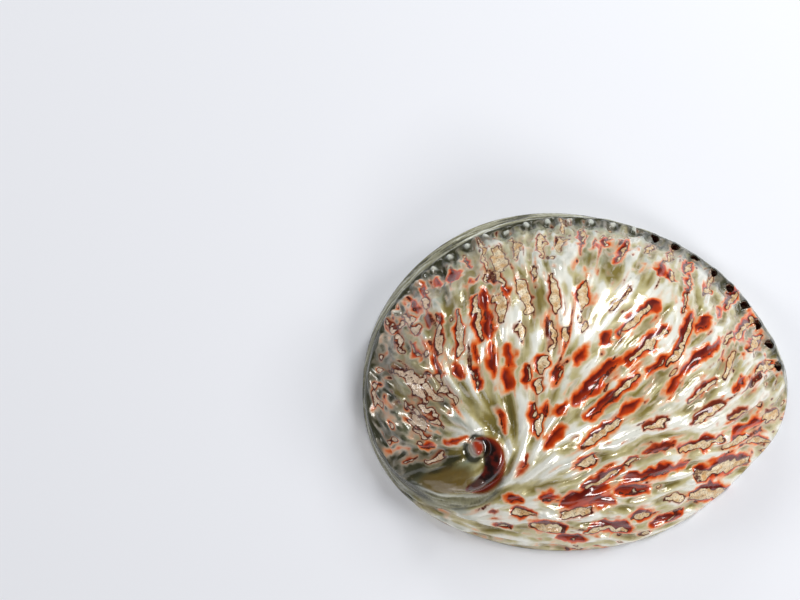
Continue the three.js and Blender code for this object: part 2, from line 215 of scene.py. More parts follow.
# ---- soft round patches in plan: x, y, half width, half depth, strength ----
OLIVE_PATCHES = [
    (10, -14, 18, 10, 0.30), (-30, 25, 16, 22, 0.22), (14, 12, 14, 30, 0.22), (55, -34, 14, 8, 0.12),
    (30, -45, 16, 8, 0.12), (40, -12, 22, 16, -0.3), (-50, -38, 16, 8, 0.35), (-6, -44, 9, 5, 0.25),
    (-24, -34, 8, 13, -0.3), (72, -8, 8, 14, 0.3), (-66, -12, 8, 18, 0.35), (28, -18, 40, 26, -0.14),
]
COOL_PATCHES = [
    (-67, -12, 7, 18, 0.25), (5, 38, 34, 12, 0.4), (62, 4, 8, 12, 0.35), (-52, -24, 10, 8, 0.25),
]
ROSE_PATCHES = [(-8, 8, 13, 9, 0.35), (40, -22, 18, 12, 0.2)]
CROWN_PATCHES = [(-4, 4, 22, 13, 1), (14, 15, 18, 11, 1)]
BY_COIL_PATCHES = [(-43, -40, 14, 8, 1), (-30, -30, 8, 12, 1)]
FEW_MARKS_PATCHES = [(-24, -36, 12, 14, 1), (-40, -27, 10, 4, 1), (-45, -43, 14, 6, 1)]

random = np.random.default_rng(11)


# ---- curves of the shell ----

def through(values, position, closed):
    """Smooth curve through evenly spaced values."""
    cell = np.floor(position).astype(int)
    u = position - cell
    count = len(values)

    def at(shift):
        index = cell + shift
        return values[index % count if closed else np.clip(index, 0, count - 1)]

    a, b, c, d = at(-1), at(0), at(1), at(2)
    return 0.5 * (2 * b + (c - a) * u + (2 * a - 5 * b + 4 * c - d) * u * u + (3 * b - a - 3 * c + d) * u**3)


def step(value, low, high):
    """0 before low, 1 past high, smooth between; low may be the larger one."""
    t = np.clip((value - low) / (high - low), 0, 1)
    return t * t * (3 - 2 * t)


def bump(offset, width):
    """1 at no offset, falling off smoothly over that width."""
    return np.exp(-((offset / width) ** 2))


def outline_radius(angle):
    return through(OUTLINE_RADII, angle / TURN * len(OUTLINE_RADII), True)


def make_reach(x, y, count=1440):
    """A function that gives the distance from (x, y) to the outline in any direction."""
    angles = np.arange(count) * TURN / count
    near, far = np.zeros(count), np.full(count, 160.0)
    for _ in range(30):
        middle = (near + far) / 2
        px, py = x + middle * np.cos(angles), y + middle * np.sin(angles)
        inside = np.hypot(px, py) < outline_radius(np.arctan2(py, px))
        near, far = np.where(inside, middle, near), np.where(inside, far, middle)
    return lambda angle: np.interp(np.mod(angle, TURN), np.append(angles, TURN), np.append(near, near[0]))


crown_reach = make_reach(*CROWN)
apex_reach = make_reach(*APEX)


def from_crown(angle, reach):
    return CROWN[0] + reach * np.cos(angle), CROWN[1] + reach * np.sin(angle)


def row_radius(age):
    return np.exp(through(np.log(ROW_RADII), age / ROW_STEP, False))


def row_point(age):
    angle = ROW_START + age
    return APEX[0] + row_radius(age) * np.cos(angle), APEX[1] + row_radius(age) * np.sin(angle)


def polar(x, y):
    """Distance, age and distance to the outline, all as seen from the apex."""
    angle = np.arctan2(y - APEX[1], x - APEX[0])
    return np.hypot(x - APEX[0], y - APEX[1]), np.mod(angle - ROW_START, TURN), apex_reach(angle)


def dome_height(x, y, inset=0.0):
    angle = np.arctan2(y - CROWN[1], x - CROWN[0])
    share = np.hypot(x - CROWN[0], y - CROWN[1]) / (crown_reach(angle) - inset)
    bulge = through(BULGES, angle / TURN * len(BULGES), True)
    return (HEIGHT - inset) * np.maximum(0, 1 - share**DOME_POWER) ** (1 / bulge)


def keel_relief(radius, age, room):
    """The ridge that carries the pores, steep on its outer side, and the furrow outside it."""
    fade = step(age, *KEEL_RISE) * (1 - step(age, *KEEL_SINK))
    outside = radius - row_radius(age)
    furrow = np.minimum(FURROW_WIDTH, np.maximum(room, 0.5) / 2)
    shoulder = outside - np.minimum(KEEL_OFFSET, np.maximum(room, 0) * KEEL_SHARE)
    ridge = np.where(shoulder < 0, bump(shoulder, KEEL_WIDTH_IN), bump(shoulder, KEEL_WIDTH_OUT))
    return fade * (KEEL_HEIGHT * ridge - FURROW_DEPTH * bump(outside - furrow - FURROW_OFFSET, furrow / 2))


def seam_relief(radius, age):
    """Each older whorl stands a little above the seam where the next one covers it."""
    relief = np.zeros_like(radius)
    for turn in range(3):
        seam_age = age + turn * TURN
        seam = row_radius(np.minimum(seam_age, SPIRAL_END))
        fade = step(seam_age, *SEAM_START) * (1 - step(seam_age, *SEAM_CLOSE))
        inside = np.log(seam / np.maximum(radius, 0.3))
        rise = step(inside, *WHORL_RISE) * (1 - step(inside, *WHORL_SINK))
        relief += fade * seam * (WHORL_STEP * rise - SEAM_DEPTH * bump(inside, SEAM_WIDTH))
    return relief


# ---- the outer surface laid flat: even steps of surface length, out from the crown ----

DIRECTIONS = np.linspace(0, TURN, DIRECTION_COUNT + 1)
STEPS = np.linspace(0, 1, LENGTH_COUNT + 1)


def even_steps():
    """Share of the way to the rim at even steps of surface length, and the whole length, by direction."""
    shares = 1 - (1 - np.linspace(0, 1, PROFILE_COUNT)) ** PROFILE_CROWDING
    rim = crown_reach(DIRECTIONS)[:, None]
    bulge = through(BULGES, DIRECTIONS / TURN * len(BULGES), True)[:, None]
    height = HEIGHT * (1 - shares[None, :] ** DOME_POWER) ** (1 / bulge)
    pieces = np.hypot(np.diff(shares)[None, :] * rim, np.diff(height, axis=1))
    lengths = np.concatenate([np.zeros((len(rim), 1)), np.cumsum(pieces, axis=1)], axis=1)
    rows = [np.interp(STEPS, row / row[-1], shares) for row in lengths]
    return np.array(rows), lengths[:, -1]


SHARES, LENGTHS = even_steps()


def lookup(field, row, col):
    """The field between its four nearest cells."""
    row = np.clip(row, 0, field.shape[0] - 1.001)
    col = np.clip(col, 0, field.shape[1] - 1.001)
    i, j = row.astype(int), col.astype(int)
    u, v = row - i, col - j
    low = field[i, j] * (1 - v) + field[i, j + 1] * v
    high = field[i + 1, j] * (1 - v) + field[i + 1, j + 1] * v
    return low * (1 - u) + high * u


def plan_share(turn, way):
    """Share of the way to the rim in plan, at a share of the way along the surface."""
    return lookup(SHARES, turn / TURN * DIRECTION_COUNT, way * LENGTH_COUNT)


def whole_length(turn):
    """Length of the surface from crown to rim in that direction."""
    return np.interp(turn, DIRECTIONS, LENGTHS)


def roll_up(u, v):
    """Plan position of points of the laid-flat surface."""
    angle = np.arctan2(v, u)
    turn = np.mod(angle, TURN)
    way = np.minimum(np.hypot(u, v) / whole_length(turn), 1)
    return from_crown(angle, plan_share(turn, way) * crown_reach(angle))


def lay_flat(x, y):
    """Place on the laid-flat surface of points given in plan."""
    x, y = np.atleast_1d(np.asarray(x, float)), np.atleast_1d(np.asarray(y, float))
    angle = np.arctan2(y - CROWN[1], x - CROWN[0])
    turn = np.mod(angle, TURN)
    share = np.minimum(np.hypot(x - CROWN[0], y - CROWN[1]) / crown_reach(angle), 1)
    row = np.rint(turn / TURN * DIRECTION_COUNT).astype(int)
    way = np.array([np.interp(s, SHARES[r], STEPS) for s, r in zip(share, row)])
    length = way * whole_length(turn)
    return length * np.cos(angle), length * np.sin(angle)


AXIS = np.arange(-SHEET_HALF, SHEET_HALF, SHEET_STEP)
SHEET_U, SHEET_V = np.meshgrid(AXIS, AXIS)
PLAN_X, PLAN_Y = roll_up(SHEET_U, SHEET_V)
RADIUS, AGE, EDGE = polar(PLAN_X, PLAN_Y)
OUTSIDE = RADIUS - row_radius(AGE)  # distance outside the spiral of the pore row


def sample(field, u, v):
    return lookup(field, (v + SHEET_HALF) / SHEET_STEP, (u + SHEET_HALF) / SHEET_STEP)


def cell_at(u, v):
    """Row and column of the sheet's nearest cell."""
    last = len(AXIS) - 1
    row = np.clip(np.rint((v + SHEET_HALF) / SHEET_STEP).astype(int), 0, last)
    col = np.clip(np.rint((u + SHEET_HALF) / SHEET_STEP).astype(int), 0, last)
    return row, col


def blur(field, width):
    """Gaussian blur, width in millimetres."""
    fy = np.fft.fftfreq(field.shape[0], SHEET_STEP)[:, None]
    fx = np.fft.rfftfreq(field.shape[1], SHEET_STEP)[None, :]
    keep = np.exp(-2 * (math.pi * width) ** 2 * (fx**2 + fy**2))
    return np.fft.irfft2(np.fft.rfft2(field) * keep, s=field.shape)


def settle(field):
    """Shifted and scaled to mean 0 and spread 1."""
    return (field - field.mean()) / field.std()


def speckle(width):
    """Random blobs about that wide."""
    return settle(blur(random.standard_normal(SHEET_U.shape), width * 0.35))


def patch(x, y, half_x, half_y):
    """A soft round patch in plan."""
    return np.exp(-(((PLAN_X - x) / half_x) ** 2 + ((PLAN_Y - y) / half_y) ** 2))


def painted(patches):
    """Soft round patches added up."""
    return sum(strength * patch(x, y, half_x, half_y) for x, y, half_x, half_y, strength in patches)


# ---- regions of the outer surface, 1 inside and 0 outside ----

HAS_ROW = 1 - step(AGE, BASE_END - 0.5, BASE_END)
UNDER_COIL = step(AGE, BASE_END - 0.5, BASE_END) * step(AGE, math.radians(300), math.radians(275))
ROW_SIDE = HAS_ROW * step(OUTSIDE, 0.8, 2.2)
COIL_SIDE = UNDER_COIL * step(OUTSIDE, -0.3, 0.4) * step(OUTSIDE, 4.2, 2.8)
STRIP = ROW_SIDE + COIL_SIDE  # the striped band outside the row and under the coil
LEFT = step(PLAN_X, -30, -60)
CROWN_AREA = np.minimum(painted(CROWN_PATCHES), 1)
BY_COIL = np.minimum(painted(BY_COIL_PATCHES), 1)
FAR_ROW = HAS_ROW * step(PLAN_Y, 5, 20) * step(PLAN_X, -66, -50)
FROM_HEART = np.hypot(PLAN_X - HEART[0], PLAN_Y - HEART[1])
FROM_LENS = np.hypot((PLAN_X - LENS[0]) / LENS_STRETCH, PLAN_Y - LENS[1])


# ---- the way the folds run ----

def flat_strokes(strokes):
    """Plan strokes (x, y, slant, length) as midpoints, directions and lengths on the sheet."""
    x, y, slant, length = np.array(strokes, float).T
    dx, dy = np.cos(np.radians(slant)) * length / 2, np.sin(np.radians(slant)) * length / 2
    u0, v0 = lay_flat(x - dx, y - dy)
    u1, v1 = lay_flat(x + dx, y + dy)
    return (u0 + u1) / 2, (v0 + v1) / 2, np.arctan2(v1 - v0, u1 - u0), np.hypot(u1 - u0, v1 - v0)


def growth_direction():
    """Direction of the plain growth folds, which turn slowly round the apex."""
    turning = np.exp(1j * FOLD_COUNT * (AGE + FOLD_SLANT * np.log(EDGE / np.maximum(RADIUS, 1))))
    slope_v, slope_u = np.gradient(turning)
    return np.arctan2(-(slope_u * np.conj(turning)).imag, (slope_v * np.conj(turning)).imag)


def grain_field():
    """Direction of the grain: along the nearby strokes, and along the pore row on the striped band."""
    strokes = [mark[:4] for mark in MARKS if mark[3] > STEER_LENGTH]
    strokes += [(*stroke, GRAIN_STROKE) for stroke in GRAIN]
    total = GROWTH_WEIGHT * np.exp(2j * growth_direction())
    for u, v, angle, length in zip(*flat_strokes(strokes)):
        far = (SHEET_U - u) ** 2 + (SHEET_V - v) ** 2
        weight = np.exp(-far / NEAR_AREA) + FAR_WEIGHT * np.exp(-far / FAR_AREA)
        total += length / GRAIN_STROKE * np.exp(2j * angle) * weight
    total /= np.abs(total)
    slope_v, slope_u = np.gradient(OUTSIDE)
    beside = np.exp(2j * np.arctan2(-slope_u, slope_v))
    under_coil = UNDER_COIL * step(OUTSIDE, -1, 0.5) * step(OUTSIDE, 8, 3)
    strip = np.clip(HAS_ROW * step(OUTSIDE, 0, 2) + under_coil, 0, 1)
    return 0.5 * np.angle(total * (1 - strip) + beside * strip)


GRAIN_ANGLE = grain_field()
GRAIN_U, GRAIN_V = np.cos(GRAIN_ANGLE), np.sin(GRAIN_ANGLE)


def streaks(width, length):
    """Random streaks that wide and long, drawn out along the grain."""
    noise = speckle(width)
    total = noise.copy()
    stride = 1.6 * SHEET_STEP
    count = int(length / 2 / stride)
    for sense in (1, -1):
        u, v = SHEET_U.copy(), SHEET_V.copy()
        du, dv = sense * GRAIN_U, sense * GRAIN_V
        for k in range(count):
            u += stride * du
            v += stride * dv
            cell = cell_at(u, v)
            nu, nv = GRAIN_U[cell], GRAIN_V[cell]
            flip = np.where(nu * du + nv * dv < 0, -1, 1)
            du, dv = nu * flip, nv * flip
            total += (0.5 + 0.5 * math.cos(math.pi * (k + 1) / (count + 1))) * noise[cell]
    return settle(total)


def random_fields():
    """Every random field of the surface, always drawn in this order."""
    return {
        "broad": streaks(3.1, 18),
        "middle": streaks(1.8, 12),
        "fine": streaks(0.8, 9),
        "lines": streaks(0.8, 30),
        "blobs": speckle(5),
        "fray_u": 0.38 * speckle(2.8) + 0.18 * speckle(1.2),
        "fray_v": 0.38 * speckle(2.8) + 0.18 * speckle(1.2),
        "swell": speckle(4.0),
        "small": streaks(1.6, 5),
        "link": streaks(1.3, 14),
        "gaps": speckle(1.3),
    }


# ---- the marks: tan crust left in the hollows, ringed with red ----

def grown_path(u, v, angle, reach):
    """Points of a stroke through (u, v) that bends with the grain, that far to each side."""
    parts = []
    for sense in (-1, 1):
        pu, pv, heading = u, v, angle + (math.pi if sense < 0 else 0)
        side = []
        for _ in range(PATH_POINTS):
            grain = GRAIN_ANGLE[cell_at(np.array(pu), np.array(pv))]
            turn = (grain - heading + math.pi / 2) % math.pi - math.pi / 2
            heading += np.clip(turn, -MOST_BEND, MOST_BEND) * BEND_SHARE
            pu += math.cos(heading) * reach / PATH_POINTS
            pv += math.sin(heading) * reach / PATH_POINTS
            side.append((pu, pv))
        parts.append(side)
    return np.array(parts[0][::-1] + [(u, v)] + parts[1])


def from_path(u, v, path):
    """Distance from a path, place along it from -1 to 1, and distance to its left."""
    near, along, across = np.full(u.shape, 99.0), np.zeros(u.shape), np.zeros(u.shape)
    for n, (start, end) in enumerate(zip(path[:-1], path[1:])):
        du, dv = end - start
        size = math.hypot(du, dv)
        share = np.clip(((u - start[0]) * du + (v - start[1]) * dv) / size**2, 0, 1)
        far = np.hypot(u - start[0] - share * du, v - start[1] - share * dv)
        side = ((v - start[1]) * du - (u - start[0]) * dv) / size
        closer = far < near
        near = np.where(closer, far, near)
        across = np.where(closer, side, across)
        along = np.where(closer, (n + share) / PATH_POINTS - 1, along)
    return near, along, across


def window(u, v, room):
    """The block of cells within that distance of a point."""
    low_i, low_j = cell_at(np.array(u - room), np.array(v - room))
    high_i, high_j = cell_at(np.array(u + room), np.array(v + room))
    return slice(int(low_i), int(high_i) + 1), slice(int(low_j), int(high_j) + 1)


def bold_marks(noise):
    """Millimetres inside the nearest mark and inside its crust, its redness, and place across it."""
    depth, crust = np.full(SHEET_U.shape, -9.0), np.full(SHEET_U.shape, -9.0)
    red, lee = np.zeros(SHEET_U.shape), np.zeros(SHEET_U.shape)
    mu, mv, angle, length = flat_strokes([mark[:4] for mark in MARKS])
    _, _, _, width = flat_strokes([(x, y, slant + 90, breadth) for x, y, slant, _, breadth, _, _ in MARKS])
    for k, mark in enumerate(MARKS):
        core, redness = mark[5:]
        half = width[k] / 2 * MARK_WIDENING
        reach = max(length[k] / 2 - half * MARK_ROUNDING, 0.05)
        box = window(mu[k], mv[k], length[k] / 2 + half + 3)
        path = grown_path(mu[k], mv[k], angle[k], reach)
        u, v = SHEET_U[box] + noise["fray_u"][box], SHEET_V[box] + noise["fray_v"][box]
        near, along, across = from_path(u, v, path)
        shaded = 1 if math.cos(angle[k]) > -0.2 else -1
        taper = half * (1 - MARK_TAPER * along**2 + MARK_SWELL * noise["swell"][box])
        if core > LEAST_CRUST:
            offset = across * shaded + CRUST_OFFSET * half * (1 - core)
            inner = core * taper * CRUST_WIDTH - np.hypot(offset, np.maximum(near - np.abs(across), 0))
            inner = np.minimum(inner, (core * 0.3 + 0.75 - np.abs(along)) * reach + 0.4)
            crust[box] = np.maximum(crust[box], inner)
        inside = taper - near
        better = inside > depth[box]
        red[box] = np.where(better, redness, red[box])
        lee[box] = np.where(better, across * shaded / half, lee[box])
        depth[box] = np.maximum(depth[box], inside)
    return depth, crust, blur(red, 0.5), blur(lee, 0.3)


def small_marks(streak):
    """Small marks scattered along the streaks: crowded at the left and by the edges, rare by the coil."""
    left = step(PLAN_X, -40, -56) * step(PLAN_Y, -38, -28)
    right = step(PLAN_X, 50, 64)
    far = step(PLAN_Y, 26, 42) * step(OUTSIDE, 0, -2)
    near = step(PLAN_Y, -50, -58)
    low = step(dome_height(PLAN_X, PLAN_Y), 14, 6)
    crowd = np.maximum.reduce([left, 0.85 * right, 0.7 * far, 0.6 * near, 0.7 * low])
    few = np.minimum(painted(FEW_MARKS_PATCHES), 1)
    return 0.7 * (streak - 2.2 + 1.2 * crowd - 1.5 * few) - 3 * STRIP


def mark_fields(noise):
    """Bold and small marks together, with thin links drawn between them along the grain."""
    depth, crust, red, lee = bold_marks(noise)
    depth = depth + 0.12 * noise["fine"] + 0.08 * noise["middle"]
    small = small_marks(noise["small"]) - BY_COIL
    link = 0.6 * (noise["link"] - 2.5 + 1.1 * step(depth, -3, -1)) - 3 * STRIP - BY_COIL
    small = np.maximum(small, np.minimum(link, 0.2))
    broken = np.clip(noise["gaps"] - 0.2, 0, 2) * (0.1 + 0.45 * step(PLAN_X, -38, -50))
    by_row = HAS_ROW * step(PLAN_Y, 15, 35) * step(OUTSIDE, -16, -8)
    small_red = 0.5 + 0.25 * np.tanh(noise["blobs"]) - 0.3 * by_row
    return {
        "inside": np.maximum(depth, small),
        "crust": np.maximum(crust - broken, small - 0.36),
        "red": np.where(small > depth, small_red, red),
        "lee": lee,
    }


# ---- the coil and the pores ----

def coil_wall():
    """1 on the coil's dark wall, and place across it, -1 at its inner edge to 1 at its outer edge."""
    wall = np.array(COIL_WALL)
    spread, across = np.full(RADIUS.shape, 9.0), np.zeros(RADIUS.shape)
    for place in np.linspace(0, len(wall) - 1, 60):
        x, y, half = (float(through(wall[:, k], np.array(place), False)) for k in range(3))
        away = np.array((x, y)) - COIL_MIDDLE
        away /= np.linalg.norm(away)
        far = np.hypot(PLAN_X - x, PLAN_Y - y) / half
        side = ((PLAN_X - x) * away[0] + (PLAN_Y - y) * away[1]) / half
        closer = far < spread
        spread = np.where(closer, far, spread)
        across = np.where(closer, side, across)
    return step(spread, 1.06, 0.94), np.clip(across, -1, 1)


def pore_ages():
    ages = [FIRST_PORE_AGE]
    while len(ages) < PORE_COUNT:
        radius = float(row_radius(np.array(ages[-1])))
        ages.append(ages[-1] + PORE_PITCH * (radius / ROW_RADII[0]) ** PORE_PITCH_SHRINK / (radius * 1.1))
    return ages


PORE_AGES = pore_ages()


def pore_axes(x, y, age):
    """Place along the row and inward, from a pore's middle and in its scale; and that middle."""
    cx, cy = row_point(np.array(age))
    ahead, behind = row_point(np.array(age + 0.01)), row_point(np.array(age - 0.01))
    slant = math.atan2(ahead[1] - behind[1], ahead[0] - behind[0])
    scale = float((row_radius(np.array(age)) / ROW_RADII[0]) ** PORE_SIZE_SHRINK)
    c, s = math.cos(slant), math.sin(slant)
    return ((x - cx) * c + (y - cy) * s) / scale, ((y - cy) * c - (x - cx) * s) / scale, (cx, cy)


def around_pore(x, y, age):
    """How far out points are from a pore's middle, 1 at its edge; measured in plan."""
    along, inward, middle = pore_axes(x, y, age)
    return np.hypot(along / PORE_HALF_LENGTH, inward / PORE_HALF_WIDTH), middle


def pore_relief():
    """Lips round open pores, domed plugs in grooves on sealed ones, and dark glass below each, darkest round
    the holes; a painted highlight on each plug's top and painted shade in its groove.
    """
    relief, plug_highlight, dark = (np.zeros(RADIUS.shape) for _ in range(3))
    for k, age in enumerate(PORE_AGES):
        out, _ = around_pore(PLAN_X, PLAN_Y, age)
        along, inward, _ = pore_axes(PLAN_X, PLAN_Y, age)
        glass = bump(np.hypot(along / 3.0, np.where(inward > 0, inward / 6.5, inward / 2.6)), 0.9)
        dark = np.maximum(dark, 0.8 * glass * step(math.radians(170) - age, 0, 0.4))
        if k < OPEN_PORES:
            relief += 0.3 * bump(out - 1.3, 0.35)
            dark = np.maximum(dark, bump(np.maximum(out - 1.1, 0), 0.5))
        else:
            relief += 0.7 * bump(out, 0.6) - 0.5 * bump(out - 1.3, 0.4)
            # Painted highlight on the plug's top.
            plug_highlight = np.maximum(plug_highlight, step(out, 0.7, 0.5))
            # Painted shade in the groove round the plug.
            dark = np.maximum(dark, 1.1 * bump(out - 1.15, 0.5))
    return relief, plug_highlight, dark


def coil_relief(coil):
    """The blister on the coil's wall, its round tip in a groove, and fine ribs spreading from the tip."""
    relief = 0.5 * bump(FROM_LENS, 1.9) - 0.25 * bump(FROM_LENS - 2.2, 0.5)
    relief += bump(FROM_HEART, 2.0) - 0.9 * bump(FROM_HEART - 3.3, 0.8)
    ribs = np.sin(26 * np.arctan2(PLAN_Y + 35, PLAN_X + 37)) * step(RADIUS, 3.5, 6) * step(RADIUS, 15, 9)
    return relief + 0.16 * ribs * (1 - coil) * (1 - step(PLAN_X, -36, -32))


# ---- what varies over the outer surface, as rasters on the laid-flat sheet ----

def fine_relief(noise, inside, coil, lines):
    """Folds and scratches along the grain; marks lie in shallow hollows with raised edges."""
    calm = (1 - 0.7 * patch(-46, -43, 12, 5)) * (1 - coil) * (1 - 0.75 * CROWN_AREA)
    folds = (1 - 0.85 * STRIP) * calm * (1 + 0.25 * LEFT) * (0.34 * noise["broad"] + 0.24 * noise["middle"])
    scratches = 0.05 * noise["fine"] * (1 - coil) * (1 - 0.8 * CROWN_AREA)
    hollows = (0.25 * step(inside, -0.9, 0.7) - 0.12 * step(inside, -2.0, -0.9)) * (1 - 0.5 * CROWN_AREA)
    return folds + scratches - hollows + STRIP * (0.10 * lines + 0.05 * noise["fine"])


def nacre_tone_and_fold_light(noise):
    """White below 0, straw in the middle, olive near 1: the nacre's own tone, painted whiter on the fold
    crests as highlight and more olive in the fold hollows as shade.
    """
    tone_and_fold_light = 0.32 + 0.42 * LEFT + painted(OLIVE_PATCHES) - 0.25 * CROWN_AREA
    tone_and_fold_light += 0.22 * step(PLAN_Y, 12, 40) - 0.12 * step(PLAN_Y, -15, -45)
    # Less the fold fields that raise the relief: painted highlight on the crests, painted shade in the
    # hollows.
    return tone_and_fold_light - 0.38 * noise["broad"] - 0.30 * noise["middle"] + 0.08 * noise["fine"]


def cool_tone(noise):
    """How far the nacre turns sea green."""
    by_row = FAR_ROW * step(OUTSIDE, -8.0, -3.5) * step(OUTSIDE, 1.8, 0.5)
    cool = 0.10 + painted(COOL_PATCHES) + 0.3 * STRIP + 0.5 * by_row
    return cool + (0.35 + 0.3 * noise["blobs"]) * LEFT + 0.15 * noise["middle"]


def dark_glass_and_painted_shade(noise, pore_glass_and_shade):
    """How far the nacre turns dark: dark glass beside the row and below the pores, darker at the left and by
    the coil, and painted shade in the deepest fold hollows and in the groove round the coil's tip.
    """
    glass_edge = -3.2 - 4.0 * step(PLAN_X, -5, 35)
    glass = FAR_ROW * step(OUTSIDE, glass_edge, -1) * step(OUTSIDE, 2.2, 1.0)
    glass *= 0.66 + 0.35 * noise["middle"]
    edge = 0.6 * HAS_ROW * bump(OUTSIDE - 1.2, 1.0)
    left_edge = 0.9 * HAS_ROW * step(PLAN_X, -50, -62) * bump(OUTSIDE + 3.5, 3.5)
    # Painted shade: darker where the folds are lowest.
    valleys = step(-noise["broad"] - 0.6 * noise["middle"] + 0.3 * noise["fine"], 1.1, 2.6)
    # Painted shade in the groove round the coil's tip, on its left side.
    groove = 1.3 * bump(FROM_HEART - 3.3, 0.75) * step(PLAN_X - PLAN_Y * 0.4, -19.5, -22.5)
    by_coil = 0.3 * patch(-50, -37, 13, 8)
    painted_shade = valleys * (0.4 + 0.5 * LEFT) * (1 - CROWN_AREA)
    return glass + pore_glass_and_shade + edge + left_edge + painted_shade + groove + by_coil + 0.46 * LEFT


def surface_fields():
    """Each field by name: the relief in millimetres, and what the outside material reads."""
    noise = random_fields()
    marks = mark_fields(noise)
    coil, across = coil_wall()
    pores, plug_highlight, pore_glass_and_shade = pore_relief()
    coil_lines = UNDER_COIL * (3.2 * bump(OUTSIDE - 0.3, 0.6) - 0.5 * bump(OUTSIDE - 1.8, 0.8))
    lines = noise["lines"] + coil_lines
    rose = painted(ROSE_PATCHES) + 0.25 * patch(-42, -29, 8, 4) * (1 + noise["fine"])
    amber = (1.2 + 0.25 * noise["blobs"]) * patch(-46, -43.2, 9, 4) * step(OUTSIDE, 0.5, -0.5)
    heart = step(FROM_HEART, 2.5, 2.1)
    return {
        **marks,
        "relief": fine_relief(noise, marks["inside"], coil, lines) + pores + coil_relief(coil),
        "tone_and_fold_light": nacre_tone_and_fold_light(noise),
        "cool": cool_tone(noise),
        "rose": rose,
        "amber": amber,
        "shade": dark_glass_and_painted_shade(noise, pore_glass_and_shade),
        "coil": coil * (1 - heart),
        "across": across,
        "heart": heart,
        "ember": step(PLAN_X + 0.4 * PLAN_Y, -51.8, -50.4),
        "ring": FROM_LENS,
        "strip": STRIP,
        "plug_highlight": plug_highlight,
        "fine": noise["fine"],
        "lines": lines,
        "left": LEFT,
        "clear": 1 - np.maximum(0.7 * step(PLAN_Y, 8, 42), 0.5 * step(PLAN_X, -54, -68)),
    }


# ---- meshes ----

def disc_grid(cells):
    """A square grid bent to a round disc: square coordinates, then share of the way out and direction."""
    side = np.linspace(-1, 1, cells + 1)
    across, along = np.meshgrid(side, side)
    x = across * np.sqrt(1 - along**2 / 2)
    y = along * np.sqrt(1 - across**2 / 2)
    return across, along, np.minimum(np.hypot(x, y), 1), np.arctan2(y, x)


def clear_pores(x, y):
    """Opens the pores in a grid: inner points are gone, those round a hole move onto its edge."""
    gone = np.zeros(x.shape, bool)
    rings = []
    for age in PORE_AGES[:OPEN_PORES]:
        out, middle = around_pore(x, y, age)
        hole = out < 1.0
        cell = hole[:-1, :-1] | hole[1:, :-1] | hole[:-1, 1:] | hole[1:, 1:]
        touched = np.zeros(x.shape, bool)
        for di in (0, 1):
            for dj in (0, 1):
                touched[di:di + cell.shape[0], dj:dj + cell.shape[1]] |= cell
        edge = touched & ~hole
        x = np.where(edge, middle[0] + (x - middle[0]) / np.maximum(out, 0.5), x)
        y = np.where(edge, middle[1] + (y - middle[1]) / np.maximum(out, 0.5), y)
        turn = np.arctan2(y[edge] - middle[1], x[edge] - middle[0])
        rings.append((np.flatnonzero(edge.ravel())[np.argsort(turn)], np.sort(turn)))
        gone |= hole
    return x, y, gone, rings


def grid_index(cells, start):
    return start + np.arange((cells + 1) ** 2).reshape(cells + 1, cells + 1)


def grid_faces(cells, gone, start, flipped):
    """Square faces of a grid, left out where a corner is gone."""
    index = grid_index(cells, start)
    corners = [index[:-1, :-1], index[:-1, 1:], index[1:, 1:], index[1:, :-1]]
    if flipped:
        corners.reverse()
    whole = ~(gone[:-1, :-1] | gone[:-1, 1:] | gone[1:, 1:] | gone[1:, :-1])
    return [tuple(face) for face in np.stack([c[whole] for c in corners], axis=1).tolist()]


def border(cells, start):
    """Points round the grid's edge, counterclockwise seen from above."""
    index = grid_index(cells, start)
    return np.concatenate([index[0, :-1], index[:-1, -1], index[-1, :0:-1], index[:0:-1, 0]])


def rim_faces(rim, lip):
    """Triangles between the outer edge and the inner one, which has half as many points."""
    faces = []
    for k in range(len(lip)):
        a, b, c = rim[2 * k], rim[2 * k + 1], rim[(2 * k + 2) % len(rim)]
        d, e = lip[k], lip[(k + 1) % len(lip)]
        faces += [(b, a, d), (b, d, e), (b, e, c)]
    return faces


def join_rings(upper, upper_turn, lower, lower_turn):
    """Triangles between two closed rings whose points are sorted by direction."""
    faces = []
    i = j = 0
    n, m = len(upper), len(lower)
    while i < n or j < m:
        next_upper = upper_turn[i % n] + TURN * (i // n)
        next_lower = lower_turn[j % m] + TURN * (j // m)
        if j >= m or (i < n and next_upper <= next_lower):
            faces.append((upper[(i - 1) % n], lower[(j - 1) % m], upper[i % n]))
            i += 1
        else:
            faces.append((lower[(j - 1) % m], lower[j % m], upper[(i - 1) % n]))
            j += 1
    return faces


def outer_points(fields):
    """Outside with relief: points, which are gone, pore rings, field values, square coordinates."""
    across, along, way, angle = disc_grid(OUTER_CELLS)
    turn = np.mod(angle, TURN)
    length = way * whole_length(turn)
    u, v = length * np.cos(angle), length * np.sin(angle)
    x, y = from_crown(angle, plan_share(turn, way) * crown_reach(angle))
    x, y, gone, rings = clear_pores(x, y)
    z = dome_height(x, y)
    z[way > 1 - 1e-9] = 0
    base = np.stack([x, y, z], axis=-1)
    normal = np.cross(np.gradient(base, axis=1), np.gradient(base, axis=0))
    normal /= np.linalg.norm(normal, axis=-1, keepdims=True)
    radius, age, edge = polar(x, y)
    relief = keel_relief(radius, age, edge - row_radius(age)) + seam_relief(radius, age)
    relief += sample(fields["relief"], u, v)
    at_rim = step((1 - way) * whole_length(turn), 0, 2.5)
    points = base + normal * (relief * at_rim)[..., None]
    points[..., 2] = np.maximum(points[..., 2], 0)
    values = {name: sample(field, u, v) for name, field in fields.items() if name != "relief"}
    return points, gone, rings, values, (across, along)


